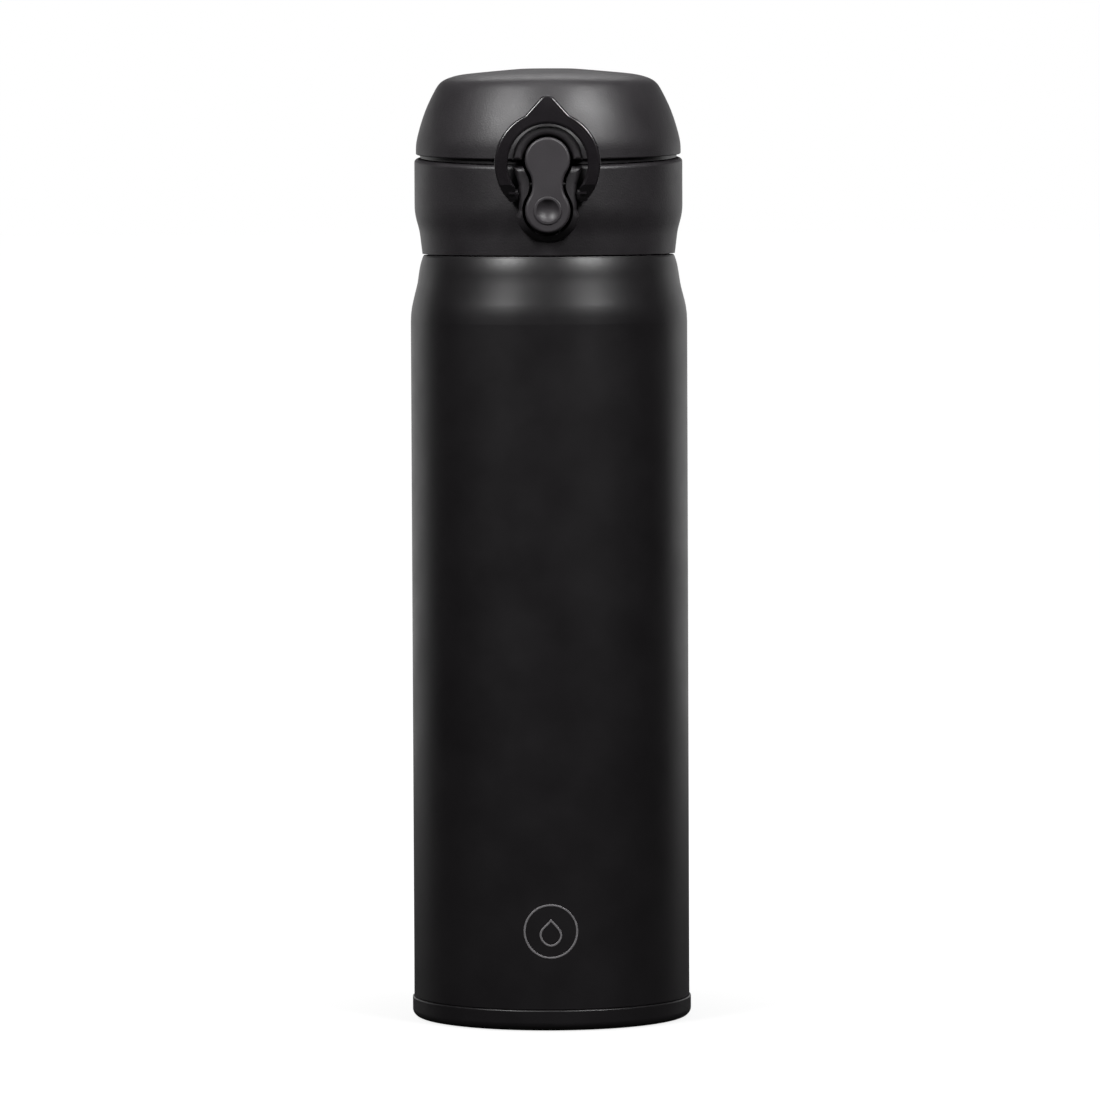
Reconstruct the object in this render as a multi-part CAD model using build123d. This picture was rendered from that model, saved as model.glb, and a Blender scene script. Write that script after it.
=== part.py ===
from build123d import *
from math import hypot, sqrt
import os

# All lengths are millimetres. The origin is the centre of the resting face, +Z is up,
# the latch faces -Y and the lid hinge is at +Y.

# body
body_radius = 35.0
base_radius = 35.4
base_height = 5.2
seam_height = 193.4
mouth_height = 210.0
outer_wall = 0.6
inner_wall = 0.5
inner_radius = 31.5
neck_radius = 25.5
neck_bore = 23.3

# thread between bottle and stopper
thread_pitch = 4.0
thread_depth = 1.0
thread_rise = 7.0
thread_start = 197.2
thread_root_half, thread_crest_half = 1.1, 0.6
sleeve_bore = 26.9

# collar and lid
collar_radius = 33.9
collar_bore = 31.3
collar_rim, collar_slope = 217.8, 0.055
lid_radius = 33.5
lip_radius = 32.45
lid_rim, lid_slope = 218.8, 0.04
lid_top = 240.4
seam_gap = 0.3
deck_top, deck_under = 214.0, 212.2

# hinge at the back
hinge_y, hinge_z = 36.0, 218.6
hinge_pin_radius = 1.1
knuckle_radius = 2.8
knuckle_gap = 0.3
running_gap = 0.06
ear_inner, ear_outer = 7.4, 11.0
knuckle_inner, knuckle_outer = 3.4, 7.1
spring_radius, spring_wire = 1.75, 0.7

# latch button
button_half = 5.6
button_waist = 3.8
button_top_z, button_low_z = 217.5, 204.9
button_face, button_back = -38.4, -35.0
button_gap = 0.75
dimple_rim = 3.5
dimple_radius, dimple_depth = 2.85, 1.3
latch_pin_y = -34.7
latch_pin_radius = 0.8
pocket_floor = -32.4

# lock ring
ring_pivot_y, ring_pivot_z = -34.9, 208.7
ring_outer, ring_inner = 13.2, 9.9
ring_centre_z = 216.5
ring_tip_z = 233.5
ring_reach = 72.2
ring_thickness = 2.6
ring_head_recess = 1.2
ring_round = 0.7
ring_eye_radius, ring_eye_inner, ring_eye_outer = 1.6, 7.35, 9.9
stud_radius, stud_end = 0.8, 6.3

# boss round the latch and arch on the lid
boss_reach = 37.2
boss_half, boss_waist = 8.0, 7.15
boss_low_z = 204.9
boss_round = 1.5
arch_z, arch_outer, arch_inner = 217.3, 8.7, 6.3
arch_reach = 73.0
catch_face = -33.45

# spout
spout_radius = 20.1
spout_floor = 217.2
holder_radius = 12.5


def turned(*edges):
    """Solid of revolution about Z from a closed outline of (radius, height) edges."""
    return revolve(Plane.XZ * make_face(list(edges)), Axis.Z)


def turned_polygon(points, radii=None):
    """Solid of revolution from straight runs; radii rounds each corner, 0 keeps it sharp."""
    if radii:
        return turned(FilletPolyline(*points, radius=radii, close=True))
    return turned(Polyline(*points, close=True))


def front_prism(outline, y_back, y_front):
    """Extrusion towards -Y of a face drawn as (x, z)."""
    plane = Plane(origin=(0, y_back, 0), x_dir=(1, 0, 0), z_dir=(0, -1, 0))
    return extrude(plane * outline, amount=y_back - y_front)


def rod(radius, x_from, x_to, y, z):
    """Cylinder along X."""
    return Pos((x_from + x_to) / 2, y, z) * Rot(0, 90, 0) * Cylinder(radius, x_to - x_from)


def hinge_reach(radius, half_width):
    """Everything within a radius of the hinge pin."""
    return rod(radius, -half_width, half_width, hinge_y, hinge_z)


def block(x_from, x_to, y_from, y_to, z_from, z_to):
    centre = Pos((x_from + x_to) / 2, (y_from + y_to) / 2, (z_from + z_to) / 2)
    return centre * Box(x_to - x_from, y_to - y_from, z_to - z_from)


def both_sides(shape):
    return shape + mirror(shape, about=Plane.YZ)


def rim_plane(height, slope):
    """Plane that drops towards the front, where the lid and the collar are cut."""
    return Plane(origin=(0, 0, height), z_dir=(0, -slope, 1))


def rim_edges(shape, height, slope, radius):
    """Edges of a cut rim that lie near the given radius."""
    def on_rim(edge):
        points = [edge.position_at(t) for t in (0.1, 0.5, 0.9)]
        level = all(abs(p.Z - height - slope * p.Y) < 0.01 for p in points)
        return level and all(abs(hypot(p.X, p.Y) - radius) < 0.6 for p in points)
    return shape.edges().filter_by(on_rim)


def front_distance(face):
    """Distance of a face's middle from the axis of the hinge pin."""
    middle = face.position_at(0.5, 0.5)
    return hypot(middle.Y - hinge_y, middle.Z - hinge_z)


def border(faces):
    """Edges that belong to only one of the faces."""
    edges = [edge for face in faces for edge in face.edges()]
    return [edge for edge in edges if sum((edge @ 0.5 - other @ 0.5).length < 1e-4 for other in edges) == 1]


def thread_ridge(root, crest, start):
    """Helical ridge whose trapezoid section runs from the root radius to the crest."""
    helix = Helix(pitch=thread_pitch, height=thread_rise, radius=root, center=(0, 0, start))
    section = Plane.XZ * make_face(Polyline(
        (root, start - thread_root_half), (crest, start - thread_crest_half),
        (crest, start + thread_crest_half), (root, start + thread_root_half), close=True))
    return sweep(section, path=helix, is_frenet=True)


def shoulder_curve(inset):
    """Outer profile of the shoulder, from the straight wall up to the collar seam."""
    points = [(35.0, 176.5), (34.5, 181.2), (33.3, 186.0), (32.65, 190.2), (31.9, 192.9)]
    return Spline(*[(r - inset, z) for r, z in points], tangents=((0, 1), (-0.35, 1)))


def outer_shell():
    step_z = base_height
    foot_r = body_radius - 0.2
    outside = shoulder_curve(0)
    inside = shoulder_curve(outer_wall)
    top_outside, top_inside = outside @ 1, inside @ 1
    shelf_in = neck_radius - outer_wall
    lip_r = neck_bore + inner_wall
    shell = turned(
        Polyline((foot_r - outer_wall, 4.2), (foot_r, 4.2), (foot_r, base_height),
                 (body_radius, base_height + 0.3), (body_radius, 176.5)),
        outside,
        FilletPolyline((top_outside.X, top_outside.Y), (31.6, seam_height), (neck_radius, seam_height),
                       (neck_radius, mouth_height), (lip_r, mouth_height), radius=[0.25, 0.5, 0.6]),
        Polyline((lip_r, mouth_height), (lip_r, mouth_height - outer_wall),
                 (shelf_in, mouth_height - outer_wall), (shelf_in, seam_height - outer_wall),
                 (top_inside.X, seam_height - outer_wall), (top_inside.X, top_inside.Y)),
        inside,
        Polyline((body_radius - outer_wall, 176.5), (body_radius - outer_wall, base_height + 0.6),
                 (foot_r - outer_wall, base_height + 0.3), (foot_r - outer_wall, 4.2)))
    return shell + thread_ridge(neck_radius - 0.2, neck_radius + thread_depth, thread_start)


def base_cap():
    """Painted steel cup pressed over the foot; its outer ring is the resting face."""
    side = base_radius - 0.55
    return turned_polygon(
        [(0, 0.9), (27.6, 0.9), (28.5, 0), (base_radius, 0), (base_radius, base_height),
         (side, base_height), (side, 0.6), (28.8, 0.6), (27.9, 1.5), (0, 1.5)],
        [0, 1.2, 1.2, 2.0, 0.3, 0, 1.45, 0.8, 0.8, 0])


def outer_bottom():
    """Dished disc that closes the outer wall, with the hole that the air is drawn out through."""
    edge = body_radius - 0.2 - outer_wall
    return turned_polygon(
        [(0.7, 3.2), (20, 3.2), (22, 4.4), (edge, 4.4), (edge, 5.0), (21.7, 5.0), (19.7, 3.8), (0.7, 3.8)])


def vacuum_seal():
    """Solder bead that plugs the hole."""
    return turned_polygon([(0, 2.0), (2.6, 2.0), (3.2, 3.2), (0.7, 3.2), (0.7, 3.8), (0, 3.8)],
                          [0, 0.9, 0, 0, 0, 0])


def getter():
    """Pill that takes up gas in the vacuum space."""
    return Pos(10, 0, 3.8 + 0.9) * Cylinder(4.0, 1.8)


def inner_flask():
    """Inner steel vessel: straight wall, shoulder and neck."""
    out_r, neck_out = inner_radius + inner_wall, neck_bore + inner_wall
    return turned_polygon(
        [(out_r, 10), (out_r, 181.0), (neck_out, 189.6), (neck_out, mouth_height),
         (neck_bore, mouth_height), (neck_bore, 189.4), (inner_radius, 180.8), (inner_radius, 10)],
        [0, 8.5, 3.0, 0, 0.2, 3.5, 8.0, 0])


def inner_bottom():
    """Rounded floor of the inner vessel."""
    out_r = inner_radius + inner_wall
    return turned_polygon(
        [(0, 7.0), (out_r, 7.0), (out_r, 10), (inner_radius, 10), (inner_radius, 7.5), (0, 7.5)],
        [0, 2.6, 0, 0, 2.1, 0])


def radiation_foil():
    """Metal foil wrapped round the inner vessel."""
    r = inner_radius + inner_wall + 0.1
    return turned_polygon([(r, 14), (r + 0.2, 14), (r + 0.2, 170), (r, 170)])


def collar_ring():
    """Outer wall and deck of the stopper, before the latch and hinge are cut."""
    foot_z = seam_height + seam_gap
    flare = Spline((31.95, foot_z), (32.3, 196.5), (32.7, 199.5), (33.5, 202.6),
                   (collar_radius, 206.2), tangents=((0.12, 1), (0, 1)))
    ring = turned(
        flare,
        Polyline((collar_radius, 206.2), (collar_radius, 226), (collar_bore, 226),
                 (collar_bore, deck_top), (spout_radius + 0.15, deck_top), (spout_radius + 0.15, deck_under),
                 (collar_bore, deck_under), (collar_bore, 204.0), (30.2, 200.0), (30.2, foot_z),
                 (31.95, foot_z)))
    ring = split(ring, bisect_by=rim_plane(collar_rim, collar_slope), keep=Keep.BOTTOM)
    return fillet(rim_edges(ring, collar_rim, collar_slope, collar_radius), 1.0)


def boss_outline():
    """U outline of the boss, seen from the front, with a waist where the lock ring pivots."""
    bowl_z = boss_low_z - 1.4
    bowl_x = sqrt(boss_half ** 2 - (bowl_z - boss_low_z) ** 2)
    side = [(11.4, 224), (boss_waist, 211.2), (boss_waist, 205.1), (bowl_x, bowl_z)]
    right = Polyline(*side)
    left = Polyline(*[(-x, z) for x, z in side])
    bowl = ThreePointArc(side[-1], (0, boss_low_z - boss_half), (-side[-1][0], side[-1][1]))
    return make_face([right, bowl, left, Line(side[0], (-side[0][0], side[0][1]))])


def boss():
    """Raised block round the latch; its face follows the collar and runs out at the bottom."""
    limit = turned(
        Polyline((0, 190), (32.0, 190), (32.4, 196.6)),
        Spline((32.4, 196.6), (35.9, 200.5), (boss_reach, 206.0), tangents=((0.6, 1), (0, 1))),
        Polyline((boss_reach, 206.0), (boss_reach, 226), (0, 226), (0, 190)))
    solid = front_prism(boss_outline(), -30.5, -40) & limit
    solid = split(solid, bisect_by=rim_plane(collar_rim, collar_slope), keep=Keep.BOTTOM)
    return fillet(border(solid.faces().sort_by(Axis.Y)[:2]), boss_round)


def button_outline(spread=0.0):
    """Two round ends joined by a hollow waist; spread grows it all round."""
    half, waist = button_half + spread, button_waist + spread
    mid_z = (button_top_z + button_low_z) / 2
    reach = (button_top_z - button_low_z) / 2
    hollow = (waist ** 2 + reach ** 2 - half ** 2) / (2 * (half - waist))
    meet_x = (waist + hollow) * half / (half + hollow)
    meet_z = reach * half / (half + hollow)
    high, low = button_top_z - meet_z, button_low_z + meet_z
    return make_face([
        ThreePointArc((-meet_x, high), (0, button_top_z + half), (meet_x, high)),
        ThreePointArc((meet_x, high), (waist, mid_z), (meet_x, low)),
        ThreePointArc((meet_x, low), (0, button_low_z - half), (-meet_x, low)),
        ThreePointArc((-meet_x, low), (-waist, mid_z), (-meet_x, high))])


def hinge_block():
    """Block on the back of the collar that carries the two ears."""
    width = ear_outer
    foot = block(-width, width, 28, hinge_y + 1.4, 205.5, 214.2)
    ear = Pos((ear_inner + ear_outer) / 2, 0, 0) * (
        rod(knuckle_radius, -1.8, 1.8, hinge_y, hinge_z)
        + block(-1.8, 1.8, 30, hinge_y + 1.9, 210, hinge_z - 1.4))
    outline = Polyline((24, 203.5), (33.2, 203.5), (hinge_y + 1.8, 208.5), (hinge_y + 2.9, 214), (hinge_y + 2.9, 222),
                       (24, 222), close=True)
    limit = extrude(Plane.YZ * make_face(outline), amount=width, both=True)
    return (foot + both_sides(ear)) & limit


def collar_shell():
    shell = collar_ring() + boss() + hinge_block()
    core = Cylinder(collar_bore, 26, align=(Align.CENTER, Align.CENTER, Align.MIN))
    shell -= Pos(0, 0, deck_top) * core
    shell -= Pos(0, 0, 204.0) * Cylinder(collar_bore, deck_under - 204.0,
                                         align=(Align.CENTER, Align.CENTER, Align.MIN))
    shell -= front_prism(button_outline(button_gap), pocket_floor, -45)
    shell -= both_sides(rod(stud_radius + running_gap, stud_end - 0.1, 9, ring_pivot_y, ring_pivot_z))
    shell -= rod(latch_pin_radius, -6.2, 6.2, latch_pin_y, (button_top_z + button_low_z) / 2)
    shell -= rod(hinge_pin_radius, -12, 12, hinge_y, hinge_z)
    return shell - hinge_reach(knuckle_radius + knuckle_gap, knuckle_outer + 0.3)


def thread_sleeve():
    """Threaded sleeve welded under the deck."""
    foot_z = seam_height + 0.9
    sleeve = turned_polygon([(sleeve_bore, foot_z), (28.8, foot_z), (28.8, deck_under),
                             (sleeve_bore, deck_under)])
    ridge = thread_ridge(sleeve_bore + 0.2, sleeve_bore - 1.05, thread_start + thread_pitch / 2)
    return sleeve + ridge


def spout():
    """Drinking spout with its flange under the deck and its skirt in the neck."""
    flange_z = mouth_height + 0.3
    cup = turned_polygon(
        [(0, 215.6), (17.2, 215.6), (20.3, 211.2), (20.3, 202.6), (22.2, 202.6), (22.2, flange_z),
         (26.4, flange_z), (26.4, deck_under), (spout_radius, deck_under), (spout_radius, 218),
         (18.8, 230), (17.3, 230), (18.3, spout_floor), (0, spout_floor)],
        [0, 1.5, 2, 0.4, 0.3, 0, 0.3, 0, 0, 6, 0.7, 0.7, 1.2, 0])
    rim = Plane(origin=(0, 0, 225.8), z_dir=(0, 0.17, 1))
    cup = split(cup, bisect_by=rim, keep=Keep.BOTTOM)
    rim_lines = cup.edges().filter_by(
        lambda e: all(abs(rim.to_local_coords(e.position_at(t)).Z) < 0.01 for t in (0.1, 0.5, 0.9)))
    cup = fillet(rim_lines, 0.5)
    drink = Pos(0, -9.5, 216) * extrude(SlotOverall(13, 7), amount=4, both=True)
    vent = Pos(0, 11.5, 216) * Cylinder(1.5, 6)
    return cup - drink - vent


def spout_gasket():
    """Silicone ring with two lips round the skirt of the spout."""
    r, lip = 22.28, 23.1
    return turned_polygon([(r, 203.0), (r + 0.3, 203.0), (lip, 203.9), (r + 0.4, 204.9), (lip, 205.9),
                           (r + 0.3, 206.8), (r, 206.8)])


def lid_dome():
    outside = Spline((lid_radius, 220), (32.85, 224.2), (31.1, 229.7), (28.8, 234.6), (27.2, 236.9),
                     (24.9, 238.15), (18.6, 239.3), (8, 240.24), (0, lid_top), tangents=((0, 1), (-1, 0)))
    inside = Spline((31.7, 223.3), (29.5, 229.2), (27.3, 233.8), (25.8, 235.6), (24.0, 236.5),
                    (18, 237.5), (8, 238.45), (0, lid_top - 1.8), tangents=((-0.2, 1), (-1, 0)))
    dome = turned(
        Line((lid_radius, 212), (lid_radius, 220)), outside, Line((0, lid_top), (0, lid_top - 1.8)),
        inside, Polyline((31.7, 223.3), (lip_radius, 222.5), (lip_radius, 212), (lid_radius, 212)))
    dome = split(dome, bisect_by=rim_plane(lid_rim, lid_slope), keep=Keep.TOP)
    return fillet(rim_edges(dome, lid_rim, lid_slope, lid_radius).sort_by(Edge.length)[-1:], 0.35)


def arch():
    """Half ring on the front of the lid that frames the head of the button."""
    band = Circle(arch_outer) - Circle(arch_inner)
    solid = front_prism(Pos(0, arch_z) * band, -27, -40) & hinge_reach(arch_reach, 12)
    solid = split(solid, bisect_by=rim_plane(lid_rim, lid_slope), keep=Keep.TOP)
    return fillet(border(solid.faces().sort_by(Axis.Y)[:1]), 1.0)


def lid_knuckle():
    """Knuckle with the web that joins it to the back of the lid."""
    length = knuckle_outer - knuckle_inner
    middle = (knuckle_inner + knuckle_outer) / 2
    outline = Polyline((hinge_y - 0.6, hinge_z + knuckle_radius), (hinge_y + 1.6, hinge_z + 2.0),
                       (33.2, 227), (31, 227), (31.5, hinge_z + 2.2), close=True)
    web = extrude(Plane.YZ * make_face(outline), amount=length / 2, both=True)
    return Pos(middle, 0, 0) * (web + rod(knuckle_radius, -length / 2, length / 2, hinge_y, hinge_z))


def lid_core():
    """Space inside the lid, reaching part of the way into its wall."""
    return turned_polygon([(0, 210), (32.9, 210), (32.9, 222.5), (32.1, 223.5), (30.2, 229.5),
                           (29, 232), (0, 232)])


def lid_shell():
    shell = lid_dome() - front_prism(Pos(0, arch_z) * Circle(arch_inner), catch_face, -45)
    shell += arch() + both_sides(lid_knuckle()) - lid_core()
    shell -= block(-2.6, 2.6, -34, catch_face + 0.7, 219.6, 222.2)
    shell -= rod(hinge_pin_radius + running_gap, -12, 12, hinge_y, hinge_z)
    shell -= hinge_reach(spring_radius + 0.8, knuckle_inner)
    shell -= both_sides(rod(knuckle_radius + knuckle_gap, ear_inner - 0.3, ear_outer + 0.3,
                            hinge_y, hinge_z))
    return shell


def lid_liner():
    """Inner moulding of the lid: the lip seen in the gap, the ceiling and the gasket holder."""
    side = Spline((31.5, 223.2), (29.5, 229.0), (28.8, 230.9))
    liner = turned(
        Polyline((lip_radius, 212), (lip_radius, 222.3), (31.5, 223.2)), side,
        Polyline((28.8, 230.9), (0, 230.9), (0, 221.2), (holder_radius, 221.2), (holder_radius, 229.6),
                 (27.6, 229.6), (30.3, 222.2), (31.2, 220), (31.2, 212), (lip_radius, 212)))
    liner = split(liner, bisect_by=rim_plane(collar_rim + 0.3, collar_slope), keep=Keep.TOP)
    return liner - hinge_reach(knuckle_radius + knuckle_gap, ear_outer + 0.3)


def lid_gasket():
    """Silicone disc on the holder that closes the spout."""
    return turned_polygon(
        [(0, spout_floor + 0.3), (12.8, spout_floor + 0.3), (15.8, 218.9), (16.4, 221.3), (16.0, 223.0),
         (holder_radius, 223.0), (holder_radius, 221.2), (0, 221.2)],
        [0, 2.0, 1.2, 0.8, 0.4, 0, 0, 0])


def latch_button():
    middle_z = (button_top_z + button_low_z) / 2
    plate = front_prism(button_outline(), button_back, button_face)
    plate = fillet(plate.faces().sort_by(Axis.Y)[0].edges(), 0.7)
    rim = front_prism(Pos(0, button_low_z) * Circle(dimple_rim), button_face + 0.5, button_face - 0.25)
    plate += fillet(rim.faces().sort_by(Axis.Y)[0].edges(), 0.2)
    ball = (dimple_radius ** 2 + dimple_depth ** 2) / (2 * dimple_depth)
    plate -= Pos(0, button_face - 0.25 + dimple_depth - ball, button_low_z) * Sphere(ball)
    lug = rod(1.7, -3.2, 3.2, latch_pin_y, middle_z) + block(
        -3.2, 3.2, latch_pin_y - 0.4, latch_pin_y + 0.2, middle_z - 1.7, middle_z + 1.7)
    nose = block(-2.2, 2.2, button_back - 0.5, catch_face - 0.35, 219.9, 221.6)
    return plate + lug + nose - rod(latch_pin_radius + running_gap, -8, 8, latch_pin_y, middle_z)


def latch_pin():
    return rod(latch_pin_radius, -6.2, 6.2, latch_pin_y, (button_top_z + button_low_z) / 2)


def coil(radius, wire, pitch, turns):
    """Helical spring along +Z from the origin."""
    helix = Helix(pitch=pitch, height=pitch * turns, radius=radius)
    section = Plane(origin=helix @ 0, z_dir=helix % 0) * Circle(wire / 2)
    return sweep(section, path=helix, is_frenet=True)


def latch_spring():
    """Spring that pushes the lower end of the button out."""
    wire, turns = 0.45, 3.0
    length = pocket_floor - button_back
    pitch = (length - wire - 0.05) / turns
    spring = Rot(90, 0, 0) * coil(1.7, wire, pitch, turns)
    return Pos(0, pocket_floor - wire / 2 - 0.02, button_low_z + 0.4) * spring


def ring_outline():
    """Round plate with a thumb tip at the top, open at the bottom between the two arms."""
    flank = [(5.6, 228.45), (1.75, 232.7)]
    head = make_face([
        Line((-flank[0][0], flank[0][1]), (-flank[1][0], flank[1][1])),
        ThreePointArc((-flank[1][0], flank[1][1]), (0, ring_tip_z), flank[1]),
        Polyline(flank[1], flank[0], (4.5, 222), (-4.5, 222), (-flank[0][0], flank[0][1]))])
    outline = head + Pos(0, ring_centre_z) * Circle(ring_outer)
    outline = fillet([v for v in outline.vertices() if 4 < abs(v.X) < 7 and v.Y > 226], 1.5)
    outline -= Pos(0, ring_centre_z) * Circle(ring_inner)
    outline -= Pos(0, ring_pivot_z - 10 - ring_eye_radius) * Rectangle(40, 20)
    return outline - Pos(0, ring_pivot_z) * Rectangle(2 * ring_eye_inner + 1.3, 7)


def lock_ring():
    slab = front_prism(ring_outline(), -30, -42)
    slab &= hinge_reach(ring_reach + ring_thickness, 16) - hinge_reach(ring_reach, 20)
    front = [face for face in slab.faces() if abs(front_distance(face) - ring_reach - ring_thickness) < 0.01]
    slab = fillet(border(front), ring_round)
    under = Polyline((-39.2, 212.5), (-35.6, 206.9), (-35.6, 200), (-45, 200), (-45, 212.5), close=True)
    slab -= extrude(Plane.YZ * make_face(under), amount=20, both=True)
    slab -= hinge_reach(ring_reach + ring_head_recess, arch_outer + 0.35) & block(-20, 20, -45, 0, 218.5, 240)
    eye = rod(ring_eye_radius, ring_eye_inner, ring_eye_outer, ring_pivot_y, ring_pivot_z)
    eye = fillet(eye.edges().sort_by(Axis.X)[-1], 0.7)
    link = block(ring_eye_inner + 0.65, ring_eye_outer - 0.3, ring_pivot_y - 2.4, ring_pivot_y,
                 ring_pivot_z + 0.3, ring_pivot_z + ring_eye_radius)
    stud = rod(stud_radius, stud_end, ring_eye_inner + 0.2, ring_pivot_y, ring_pivot_z)
    return slab + both_sides(eye + link + stud)


def hinge_pin():
    return rod(hinge_pin_radius, -ear_outer, ear_outer, hinge_y, hinge_z)


def lid_spring():
    """Torsion spring on the hinge pin, with one leg on the lid and one on the collar."""
    turns, pitch = 5.0, 0.95
    length = pitch * turns
    spring = Rot(0, 90, 0) * coil(spring_radius, spring_wire, pitch, turns)
    return Pos(-length / 2, hinge_y, hinge_z) * spring


bottle = {
    "base_cap": base_cap, "outer_shell": outer_shell, "outer_bottom": outer_bottom,
    "vacuum_seal": vacuum_seal, "getter": getter, "inner_flask": inner_flask,
    "inner_bottom": inner_bottom, "radiation_foil": radiation_foil}
stopper = {
    "collar_shell": collar_shell, "thread_sleeve": thread_sleeve, "spout": spout,
    "spout_gasket": spout_gasket, "hinge_pin": hinge_pin, "lid_spring": lid_spring,
    "latch_button": latch_button, "latch_pin": latch_pin, "latch_spring": latch_spring,
    "lock_ring": lock_ring}
lid = {"lid_shell": lid_shell, "lid_liner": lid_liner, "lid_gasket": lid_gasket}

os.makedirs("parts", exist_ok=True)
for group in (bottle, stopper, lid):
    for name, make in group.items():
        export_step(make(), f"parts/{name}.step")
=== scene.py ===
import bpy
from math import cos, radians, sin, tau
from mathutils import Matrix, Vector


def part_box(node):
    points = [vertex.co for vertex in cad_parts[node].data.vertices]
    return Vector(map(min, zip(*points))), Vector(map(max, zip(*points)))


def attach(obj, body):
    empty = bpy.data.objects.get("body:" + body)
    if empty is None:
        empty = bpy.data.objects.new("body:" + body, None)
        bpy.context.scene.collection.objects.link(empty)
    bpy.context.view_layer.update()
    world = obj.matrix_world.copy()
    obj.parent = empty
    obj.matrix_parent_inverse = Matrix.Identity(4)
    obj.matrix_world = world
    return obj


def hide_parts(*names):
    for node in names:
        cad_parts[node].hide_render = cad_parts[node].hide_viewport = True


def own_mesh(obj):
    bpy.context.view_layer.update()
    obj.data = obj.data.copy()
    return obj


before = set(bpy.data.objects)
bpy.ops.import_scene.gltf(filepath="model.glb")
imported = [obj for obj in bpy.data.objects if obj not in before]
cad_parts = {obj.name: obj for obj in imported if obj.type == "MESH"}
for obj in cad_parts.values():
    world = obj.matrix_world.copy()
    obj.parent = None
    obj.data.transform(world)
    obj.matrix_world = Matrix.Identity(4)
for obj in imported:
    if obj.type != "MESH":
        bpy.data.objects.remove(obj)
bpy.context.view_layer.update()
scene = bpy.context.scene
mm = 0.001
print("frame loaded")

# camera: a long lens, level with the lid and looking slightly down at the body
cameraView = {"distance": 1.85, "height": 0.225, "aimHeight": 0.11845, "lens": 239,
              "turn": 0.3, "roll": -0.25, "sensor": 36, "near": 0.05, "far": 50}


def addCamera(view):
    eye = Vector((view["distance"] * sin(radians(view["turn"])),
                  -view["distance"] * cos(radians(view["turn"])), view["height"]))
    aim = Vector((0, 0, view["aimHeight"]))
    bpy.ops.object.camera_add(location=eye)
    camera = bpy.context.object
    camera.name = "productCamera"
    turned = (aim - eye).to_track_quat("-Z", "Y").to_matrix().to_4x4()
    rolled = Matrix.Rotation(radians(view["roll"]), 4, "Z")
    camera.matrix_world = Matrix.Translation(eye) @ turned @ rolled
    camera.data.lens = view["lens"]
    camera.data.sensor_width = view["sensor"]
    camera.data.clip_end = view["far"]
    camera.data.clip_start = view["near"]
    scene.camera = camera


addCamera(cameraView)
scene.view_settings.view_transform = "Standard"
print("camera placed")

# studio: two soft boxes in front, one above, one behind, and a broad panel behind each side.
# All face one point on the flask's axis. Azimuth goes round from the front and elevation up
# from level, in degrees; distances and sizes are in metres and power in watts.
lampAim = Vector((0, 0, 0.15))
softBoxes = {
    "leftBox": {"azimuth": -42, "elevation": 42, "distance": 0.9,
                "width": 0.24, "height": 0.30, "power": 8.6},
    "rightBox": {"azimuth": 42, "elevation": 42, "distance": 0.9,
                 "width": 0.24, "height": 0.30, "power": 8.6},
    "topBox": {"azimuth": 0, "elevation": 80, "distance": 1.1,
               "width": 0.5, "height": 0.5, "power": 1.6},
    "backBox": {"azimuth": 180, "elevation": 52, "distance": 1.0,
                "width": 0.6, "height": 0.3, "power": 2.6},
    "leftRim": {"azimuth": -148, "elevation": -3, "distance": 0.8,
                "width": 0.80, "height": 0.55, "power": 1.05},
    "rightRim": {"azimuth": 148, "elevation": -3, "distance": 0.8,
                 "width": 0.80, "height": 0.55, "power": 1.05},
}


def addSoftBox(name, box):
    a, e = radians(box["azimuth"]), radians(box["elevation"])
    place = lampAim + box["distance"] * Vector((sin(a) * cos(e), -cos(a) * cos(e), sin(e)))
    bpy.ops.object.light_add(type="AREA", location=place)
    lamp = bpy.context.object
    lamp.name = name
    lamp.rotation_euler = (lampAim - place).to_track_quat("-Z", "Y").to_euler()
    lamp.data.shape = "RECTANGLE"
    lamp.data.size = box["width"]
    lamp.data.size_y = box["height"]
    lamp.data.energy = box["power"]
    lamp.visible_camera = False


for name, box in softBoxes.items():
    addSoftBox(name, box)


def grey(level):
    return (level,) * 3 + (1,)


# pale floor: bright to the eye, with a painted shadow that makes it a little darker close to the
# flask, and dark in reflections
floorLook = {"radius": 14, "sides": 96, "below": 0.0002, "glow": (0.86, 1.0),
             "paintedShadowReach": (0.034, 0.13), "seenShade": 0.10, "bounceShade": 0.03, "roughness": 0.9}


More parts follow.
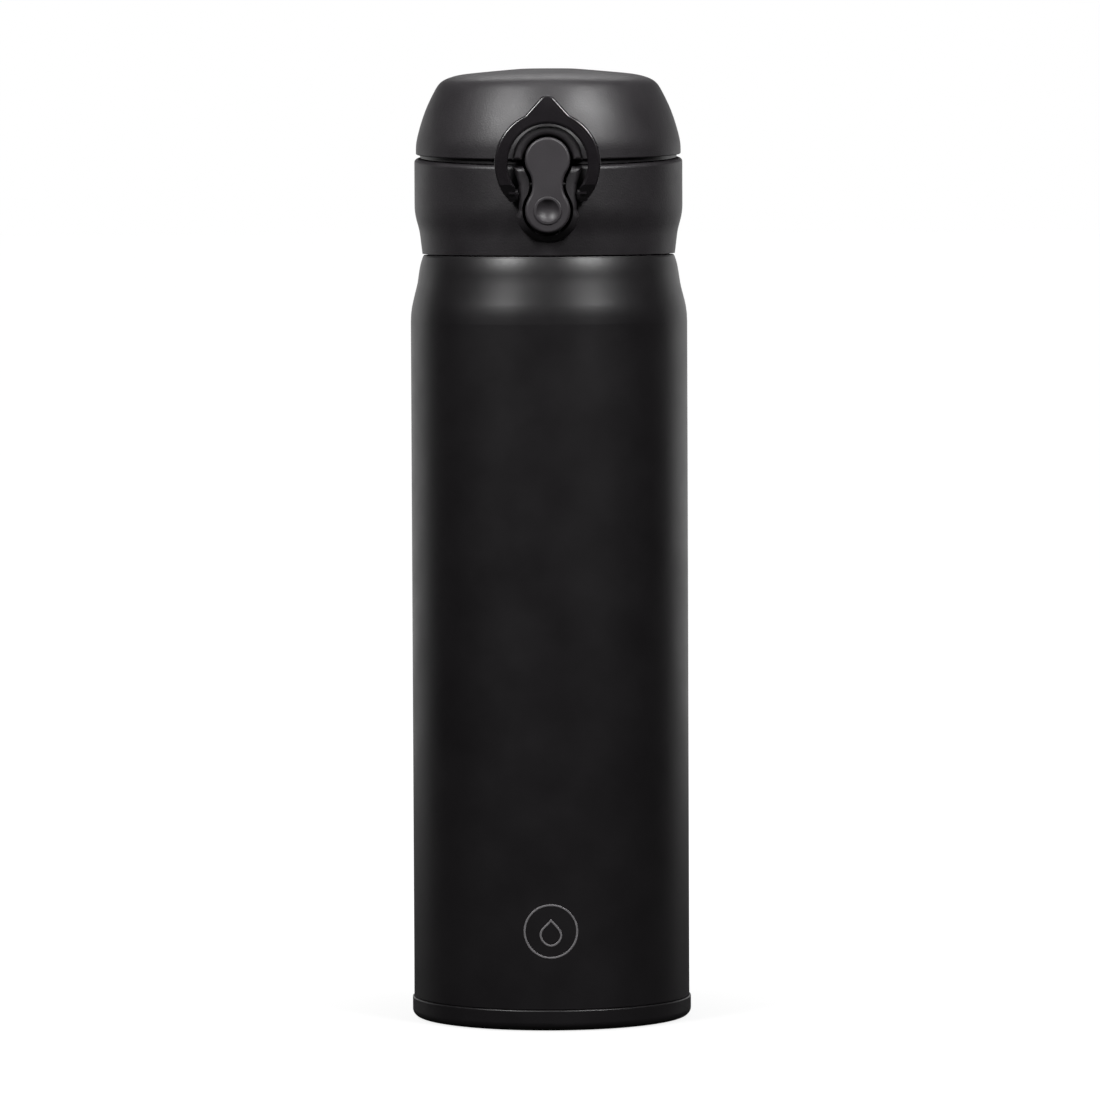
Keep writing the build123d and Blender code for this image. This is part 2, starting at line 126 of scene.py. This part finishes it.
def addFloor(look):
    bpy.ops.mesh.primitive_circle_add(vertices=look["sides"], radius=look["radius"],
                                      fill_type="NGON", location=(0, 0, -look["below"]))
    floor = bpy.context.object
    floor.name = "studioFloor"
    paint = bpy.data.materials.new("paleFloor")
    paint.use_nodes = True
    nodes, links = paint.node_tree.nodes, paint.node_tree.links
    seen = nodes["Principled BSDF"]
    seen.inputs["Base Color"].default_value = grey(look["seenShade"])
    seen.inputs["Roughness"].default_value = look["roughness"]
    seen.inputs["Specular IOR Level"].default_value = 0.0
    seen.inputs["Emission Color"].default_value = grey(1)
    place = nodes.new("ShaderNodeTexCoord")
    away = nodes.new("ShaderNodeVectorMath")
    away.operation = "LENGTH"
    # the floor's glow drops towards the flask's axis: a painted contact shadow
    glow = nodes.new("ShaderNodeMapRange")
    glow.inputs["From Min"].default_value = look["paintedShadowReach"][0]
    glow.inputs["From Max"].default_value = look["paintedShadowReach"][1]
    glow.inputs["To Min"].default_value = look["glow"][0]
    glow.inputs["To Max"].default_value = look["glow"][1]
    links.new(place.outputs["Object"], away.inputs[0])
    links.new(away.outputs["Value"], glow.inputs["Value"])
    links.new(glow.outputs[0], seen.inputs["Emission Strength"])
    bounce = nodes.new("ShaderNodeBsdfDiffuse")
    bounce.inputs["Color"].default_value = grey(look["bounceShade"])
    path = nodes.new("ShaderNodeLightPath")
    mix = nodes.new("ShaderNodeMixShader")
    links.new(path.outputs["Is Camera Ray"], mix.inputs["Fac"])
    links.new(bounce.outputs[0], mix.inputs[1])
    links.new(seen.outputs[0], mix.inputs[2])
    links.new(mix.outputs[0], nodes["Material Output"].inputs["Surface"])
    floor.data.materials.append(paint)


addFloor(floorLook)

# surroundings: white to the eye, and for everything else dim in front and lighter behind
studioSky = {"seen": 1.0, "front": 0.02, "side": 0.03, "behind": 0.10,
             "frontUpTo": 0.5, "sideAt": 0.68, "behindFrom": 0.82}


def addSky(sky):
    world = bpy.data.worlds.new("studioSky")
    scene.world = world
    world.use_nodes = True
    nodes, links = world.node_tree.nodes, world.node_tree.links
    nodes.clear()
    out = nodes.new("ShaderNodeOutputWorld")
    seen = nodes.new("ShaderNodeBackground")
    around = nodes.new("ShaderNodeBackground")
    seen.inputs["Color"].default_value = grey(sky["seen"])
    mix = nodes.new("ShaderNodeMixShader")
    path = nodes.new("ShaderNodeLightPath")
    place = nodes.new("ShaderNodeTexCoord")
    split = nodes.new("ShaderNodeSeparateXYZ")
    ramp = nodes.new("ShaderNodeValToRGB")
    spread = nodes.new("ShaderNodeMapRange")
    spread.inputs["From Min"].default_value = -1
    spread.inputs["From Max"].default_value = 1
    links.new(place.outputs["Generated"], split.inputs[0])
    links.new(split.outputs["Y"], spread.inputs["Value"])
    links.new(spread.outputs[0], ramp.inputs["Fac"])
    ramp.color_ramp.elements[0].position = 0.0
    ramp.color_ramp.elements[0].color = grey(sky["front"])
    ramp.color_ramp.elements[1].position = 1.0
    ramp.color_ramp.elements[1].color = grey(sky["behind"])
    for position, level in ((sky["frontUpTo"], sky["front"]), (sky["sideAt"], sky["side"]),
                            (sky["behindFrom"], sky["behind"])):
        stop = ramp.color_ramp.elements.new(position)
        stop.color = grey(level)
    links.new(ramp.outputs["Color"], around.inputs["Color"])
    links.new(path.outputs["Is Camera Ray"], mix.inputs["Fac"])
    links.new(around.outputs[0], mix.inputs[1])
    links.new(seen.outputs[0], mix.inputs[2])
    links.new(mix.outputs[0], out.inputs["Surface"])


addSky(studioSky)
print("studio lit")


# helpers for shader groups and materials
def newGroup(name, inputs, outputs):
    group = bpy.data.node_groups.new(name, "ShaderNodeTree")
    for label, value in inputs.items():
        socket = group.interface.new_socket(label, in_out="INPUT", socket_type="NodeSocketFloat")
        socket.default_value = value
    for label in outputs:
        group.interface.new_socket(label, in_out="OUTPUT", socket_type="NodeSocketFloat")
    return group, group.nodes.new("NodeGroupInput"), group.nodes.new("NodeGroupOutput")


def mathNode(tree, kind, first, second):
    node = tree.nodes.new("ShaderNodeMath")
    node.operation = kind
    for socket, value in zip(node.inputs, (first, second)):
        if hasattr(value, "is_output"):
            tree.links.new(value, socket)
        else:
            socket.default_value = value
    return node.outputs[0]


def noiseNode(tree, vector, scale, detail, rough):
    node = tree.nodes.new("ShaderNodeTexNoise")
    tree.links.new(vector, node.inputs["Vector"])
    tree.links.new(scale, node.inputs["Scale"])
    node.inputs["Detail"].default_value = detail
    node.inputs["Roughness"].default_value = rough
    return node.outputs["Fac"]


# fine grain for the bump, speckle for the colour, and broad patches of handling for the gloss
grainLook = {"fineDetail": 2.0, "fineRough": 0.6, "patchDetail": 4.0, "patchRough": 0.55}


def makeGrainGroup(look):
    group, given, result = newGroup("surfaceGrain", {"Scale": 4000.0, "Coarse Scale": 90.0},
                                    ("Height", "Speckle", "Handling"))
    place = group.nodes.new("ShaderNodeTexCoord").outputs["Object"]
    fine = noiseNode(group, place, given.outputs["Scale"], look["fineDetail"], look["fineRough"])
    pits = group.nodes.new("ShaderNodeTexVoronoi")
    pits.feature = "SMOOTH_F1"
    group.links.new(place, pits.inputs["Vector"])
    group.links.new(given.outputs["Scale"], pits.inputs["Scale"])
    coarse = noiseNode(group, place, given.outputs["Coarse Scale"],
                       look["patchDetail"], look["patchRough"])
    group.links.new(mathNode(group, "ADD", fine, pits.outputs["Distance"]), result.inputs["Height"])
    group.links.new(fine, result.inputs["Speckle"])
    group.links.new(coarse, result.inputs["Handling"])
    return group


grainGroup = makeGrainGroup(grainLook)

# dark and light ends of the colour, range of roughness, how fine the grain and the patches are,
# strength of the bump and its depth in metres
finishes = {
    "powderCoat": {
        "dark": (0.0040, 0.0034, 0.0040), "light": (0.0068, 0.0058, 0.0068),
        "roughness": (0.36, 0.43), "scale": 5200.0, "coarse": 60.0,
        "bump": 0.05, "depth": 0.00004, "bareAbove": 0.19335, "bareSteel": (0.50, 0.50, 0.49)},
    "texturedPlastic": {
        "dark": (0.0115, 0.0100, 0.0115), "light": (0.0190, 0.0168, 0.0190),
        "roughness": (0.42, 0.52), "scale": 2600.0, "coarse": 80.0,
        "bump": 0.40, "depth": 0.00006},
    "satinButton": {
        "dark": (0.0210, 0.0185, 0.0210), "light": (0.0270, 0.0240, 0.0270),
        "roughness": (0.46, 0.54), "scale": 3400.0, "coarse": 120.0,
        "bump": 0.15, "depth": 0.00004},
    "glossRing": {
        "dark": (0.0068, 0.0058, 0.0068), "light": (0.0105, 0.0092, 0.0105),
        "roughness": (0.20, 0.27), "scale": 3000.0, "coarse": 150.0,
        "bump": 0.05, "depth": 0.00003},
    # inner plastic, darker than the lid and collar plastic: painted shade, so the liner's lip in
    # the gap under the lid reads as part of the dark gap
    "innerPlasticPaintedShade": {
        "dark": (0.0085, 0.0075, 0.0085), "light": (0.0135, 0.0120, 0.0135),
        "roughness": (0.34, 0.45), "scale": 2200.0, "coarse": 90.0,
        "bump": 0.06, "depth": 0.00004},
    "darkSteel": {
        "dark": (0.045, 0.043, 0.045), "light": (0.075, 0.072, 0.075),
        "roughness": (0.35, 0.5), "scale": 1500.0, "coarse": 200.0,
        "bump": 0.08, "depth": 0.00003, "metallic": 1.0},
    "greyPrint": {
        "dark": (0.115, 0.110, 0.115), "light": (0.155, 0.148, 0.155),
        "roughness": (0.42, 0.5), "scale": 4800.0, "coarse": 300.0,
        "bump": 0.10, "depth": 0.00003},
    "softSilicone": {
        "dark": (0.20, 0.20, 0.21), "light": (0.27, 0.27, 0.28),
        "roughness": (0.5, 0.6), "scale": 1800.0, "coarse": 120.0,
        "bump": 0.08, "depth": 0.00005},
    "drawnSteel": {
        "dark": (0.42, 0.42, 0.42), "light": (0.55, 0.55, 0.54),
        "roughness": (0.22, 0.34), "scale": 1500.0, "coarse": 200.0,
        "bump": 0.05, "depth": 0.00003, "metallic": 1.0},
    "flaskSteel": {
        "dark": (0.46, 0.46, 0.455), "light": (0.58, 0.58, 0.57),
        "roughness": (0.28, 0.40), "scale": 900.0, "coarse": 40.0,
        "bump": 0.05, "depth": 0.00005, "metallic": 1.0},
    "brightFoil": {
        "dark": (0.72, 0.72, 0.71), "light": (0.82, 0.82, 0.82),
        "roughness": (0.12, 0.25), "scale": 400.0, "coarse": 60.0,
        "bump": 0.3, "depth": 0.0002, "metallic": 1.0},
    "dullSolder": {
        "dark": (0.30, 0.30, 0.29), "light": (0.42, 0.42, 0.40),
        "roughness": (0.4, 0.55), "scale": 900.0, "coarse": 200.0,
        "bump": 0.3, "depth": 0.0001, "metallic": 1.0},
    "pressedPowder": {
        "dark": (0.11, 0.105, 0.10), "light": (0.19, 0.18, 0.17),
        "roughness": (0.6, 0.8), "scale": 1500.0, "coarse": 300.0,
        "bump": 0.5, "depth": 0.0001, "metallic": 1.0},
}


# blend of speckle and handling that picks the shade, and the part of each noise that is used
shadeMix = {"speckle": 0.6, "handling": 0.4, "low": 0.3, "high": 0.7}


# above the paint line the outer shell is bare steel
def leaveNeckBare(tree, shader, paintColour, look):
    place = tree.nodes.new("ShaderNodeTexCoord")
    split = tree.nodes.new("ShaderNodeSeparateXYZ")
    tree.links.new(place.outputs["Object"], split.inputs[0])
    bare = mathNode(tree, "GREATER_THAN", split.outputs["Z"], look["bareAbove"])
    cover = tree.nodes.new("ShaderNodeMix")
    cover.data_type = "RGBA"
    colours = [socket for socket in cover.inputs if socket.type == "RGBA"]
    tree.links.new(bare, cover.inputs["Factor"])
    tree.links.new(paintColour, colours[0])
    colours[1].default_value = look["bareSteel"] + (1,)
    result = [socket for socket in cover.outputs if socket.type == "RGBA"][0]
    tree.links.new(result, shader.inputs["Base Color"])
    tree.links.new(bare, shader.inputs["Metallic"])


def makeFinish(name, look):
    material = bpy.data.materials.new(name)
    material.use_nodes = True
    tree = material.node_tree
    shader = tree.nodes["Principled BSDF"]
    grain = tree.nodes.new("ShaderNodeGroup")
    grain.node_tree = grainGroup
    grain.inputs["Scale"].default_value = look["scale"]
    grain.inputs["Coarse Scale"].default_value = look["coarse"]
    shade = tree.nodes.new("ShaderNodeValToRGB")
    shade.color_ramp.elements[0].position = shadeMix["low"]
    shade.color_ramp.elements[0].color = look["dark"] + (1,)
    shade.color_ramp.elements[1].position = shadeMix["high"]
    shade.color_ramp.elements[1].color = look["light"] + (1,)
    speckle = mathNode(tree, "MULTIPLY", grain.outputs["Speckle"], shadeMix["speckle"])
    handling = mathNode(tree, "MULTIPLY", grain.outputs["Handling"], shadeMix["handling"])
    tree.links.new(mathNode(tree, "ADD", speckle, handling), shade.inputs["Fac"])
    tree.links.new(shade.outputs["Color"], shader.inputs["Base Color"])
    rough = tree.nodes.new("ShaderNodeMapRange")
    rough.inputs["From Min"].default_value = shadeMix["low"]
    rough.inputs["From Max"].default_value = shadeMix["high"]
    rough.inputs["To Min"].default_value = look["roughness"][0]
    rough.inputs["To Max"].default_value = look["roughness"][1]
    tree.links.new(grain.outputs["Handling"], rough.inputs["Value"])
    tree.links.new(rough.outputs[0], shader.inputs["Roughness"])
    bump = tree.nodes.new("ShaderNodeBump")
    bump.inputs["Strength"].default_value = look["bump"]
    bump.inputs["Distance"].default_value = look["depth"]
    tree.links.new(grain.outputs["Height"], bump.inputs["Height"])
    tree.links.new(bump.outputs["Normal"], shader.inputs["Normal"])
    shader.inputs["Metallic"].default_value = look.get("metallic", 0.0)
    if "bareAbove" in look:
        leaveNeckBare(tree, shader, shade.outputs["Color"], look)
    return material


materials = {name: makeFinish(name, look) for name, look in finishes.items()}
print("finishes made")

# which finish each piece of the frame takes
finishOf = {
    "powderCoat": ("outer_shell", "base_cap"),
    "texturedPlastic": ("collar_shell", "lid_shell"),
    "satinButton": ("latch_button",),
    "glossRing": ("lock_ring",),
    # liner, spout and thread sleeve take the inner plastic, whose dark colour is painted shade for
    # the gap under the lid
    "innerPlasticPaintedShade": ("lid_liner", "spout", "thread_sleeve"),
    "softSilicone": ("lid_gasket", "spout_gasket"),
    "darkSteel": ("latch_pin", "latch_spring"),
    "drawnSteel": ("hinge_pin", "lid_spring"),
    "flaskSteel": ("inner_flask", "inner_bottom", "outer_bottom"),
    "brightFoil": ("radiation_foil",),
    "dullSolder": ("vacuum_seal",),
    "pressedPowder": ("getter",),
}
for finish, nodeNames in finishOf.items():
    for nodeName in nodeNames:
        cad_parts[nodeName].data.materials[0] = materials[finish]
print("frame finished")

# coil behind the button's lower end; wire is the wire's radius in mm, and pressed, the part of its
# length that pressed gives, is not used
buttonSpring = {"wire": 0.225, "wireSides": 12, "turns": 3, "stepsPerTurn": 28, "pressed": 0.66}


def addButtonSpring(look):
    low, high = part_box("latch_spring")
    wire, middle = look["wire"] * mm, (low[2] + high[2]) / 2
    length = high[1] - low[1] - 2 * wire
    bpy.ops.object.select_all(action="DESELECT")
    bpy.ops.mesh.primitive_circle_add(vertices=look["wireSides"], radius=wire, fill_type="NOTHING",
                                      location=(0, low[1] + wire, middle))
    coil = bpy.context.object
    coil.name = "buttonSpring"
    bpy.ops.object.mode_set(mode="EDIT")
    bpy.ops.mesh.select_all(action="SELECT")
    bpy.ops.transform.translate(value=((high[0] - low[0]) / 2 - wire, 0, 0))
    bpy.ops.object.mode_set(mode="OBJECT")
    wind = coil.modifiers.new("wind", "SCREW")
    wind.axis = "Y"
    wind.angle = tau * look["turns"]
    wind.screw_offset = length
    wind.steps = wind.render_steps = look["turns"] * look["stepsPerTurn"]
    bpy.ops.object.modifier_apply(modifier=wind.name)
    bpy.ops.object.transform_apply(location=True, rotation=True, scale=True)
    bpy.ops.object.mode_set(mode="EDIT")
    bpy.ops.mesh.select_all(action="SELECT")
    bpy.ops.mesh.fill_holes(sides=0)
    bpy.ops.mesh.normals_make_consistent(inside=False)
    bpy.ops.object.mode_set(mode="OBJECT")
    bpy.ops.object.shade_smooth()
    coil.data.materials.append(materials["darkSteel"])
    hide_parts("latch_spring")
    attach(coil, "stopper")
    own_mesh(coil)


addButtonSpring(buttonSpring)
print("button spring wound")

# printed mark low on the front of the body: a plain ring with a drop of water in it.
# Lengths are in mm; flatten is how much of the lines' roundness stands out from the body.
printedMark = {"height": 25.0, "ringRadius": 6.6, "dropWidth": 2.55, "dropTop": 3.9, "dropLow": 3.4,
               "dropBelly": 1.0, "line": 0.26, "flatten": 0.25, "bodyRadius": 35.0, "stand": 0.03,
               "roundness": 3, "smoothness": 24, "weld": 0.002}


def addRingLine(look):
    bpy.ops.curve.primitive_bezier_circle_add(radius=look["ringRadius"] * mm)
    return bpy.context.object


def addDropLine(look):
    bpy.ops.curve.primitive_bezier_circle_add(radius=look["dropWidth"] * mm)
    drop = bpy.context.object
    points = drop.data.splines[0].bezier_points
    top = max(points, key=lambda point: point.co.y)
    low = min(points, key=lambda point: point.co.y)
    top.handle_left_type = top.handle_right_type = "VECTOR"
    top.co.y = look["dropTop"] * mm
    for point in points:
        if point is not top:
            point.handle_left_type = point.handle_right_type = "FREE"
            shift = -look["dropLow"] * mm - low.co.y if point is low else -look["dropBelly"] * mm
            for part in (point.co, point.handle_left, point.handle_right):
                part.y += shift
    return drop


def wrapOnBody(piece, look):
    radius = look["bodyRadius"] * mm
    for vertex in piece.data.vertices:
        across, up, out = vertex.co.x, vertex.co.y, vertex.co.z * look["flatten"]
        angle = across / radius
        reach = radius + look["stand"] * mm + out
        vertex.co = (reach * sin(angle), -reach * cos(angle), look["height"] * mm + up)


def addPrintedMark(look):
    lines = [addRingLine(look), addDropLine(look)]
    for line in lines:
        line.data.bevel_depth = look["line"] * mm
        line.data.bevel_resolution = look["roundness"]
        line.data.resolution_u = look["smoothness"]
    bpy.ops.object.select_all(action="DESELECT")
    for line in lines:
        line.select_set(True)
    bpy.context.view_layer.objects.active = lines[0]
    bpy.ops.object.convert(target="MESH")
    bpy.ops.object.join()
    mark = bpy.context.object
    mark.name = "printedMark"
    wrapOnBody(mark, look)
    bpy.ops.object.mode_set(mode="EDIT")
    bpy.ops.mesh.select_all(action="SELECT")
    bpy.ops.mesh.remove_doubles(threshold=look["weld"] * mm)
    bpy.ops.mesh.normals_make_consistent(inside=False)
    bpy.ops.object.mode_set(mode="OBJECT")
    bpy.ops.object.shade_smooth()
    mark.data.materials.append(materials["greyPrint"])
    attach(mark, "bottle")


addPrintedMark(printedMark)
print("mark printed")
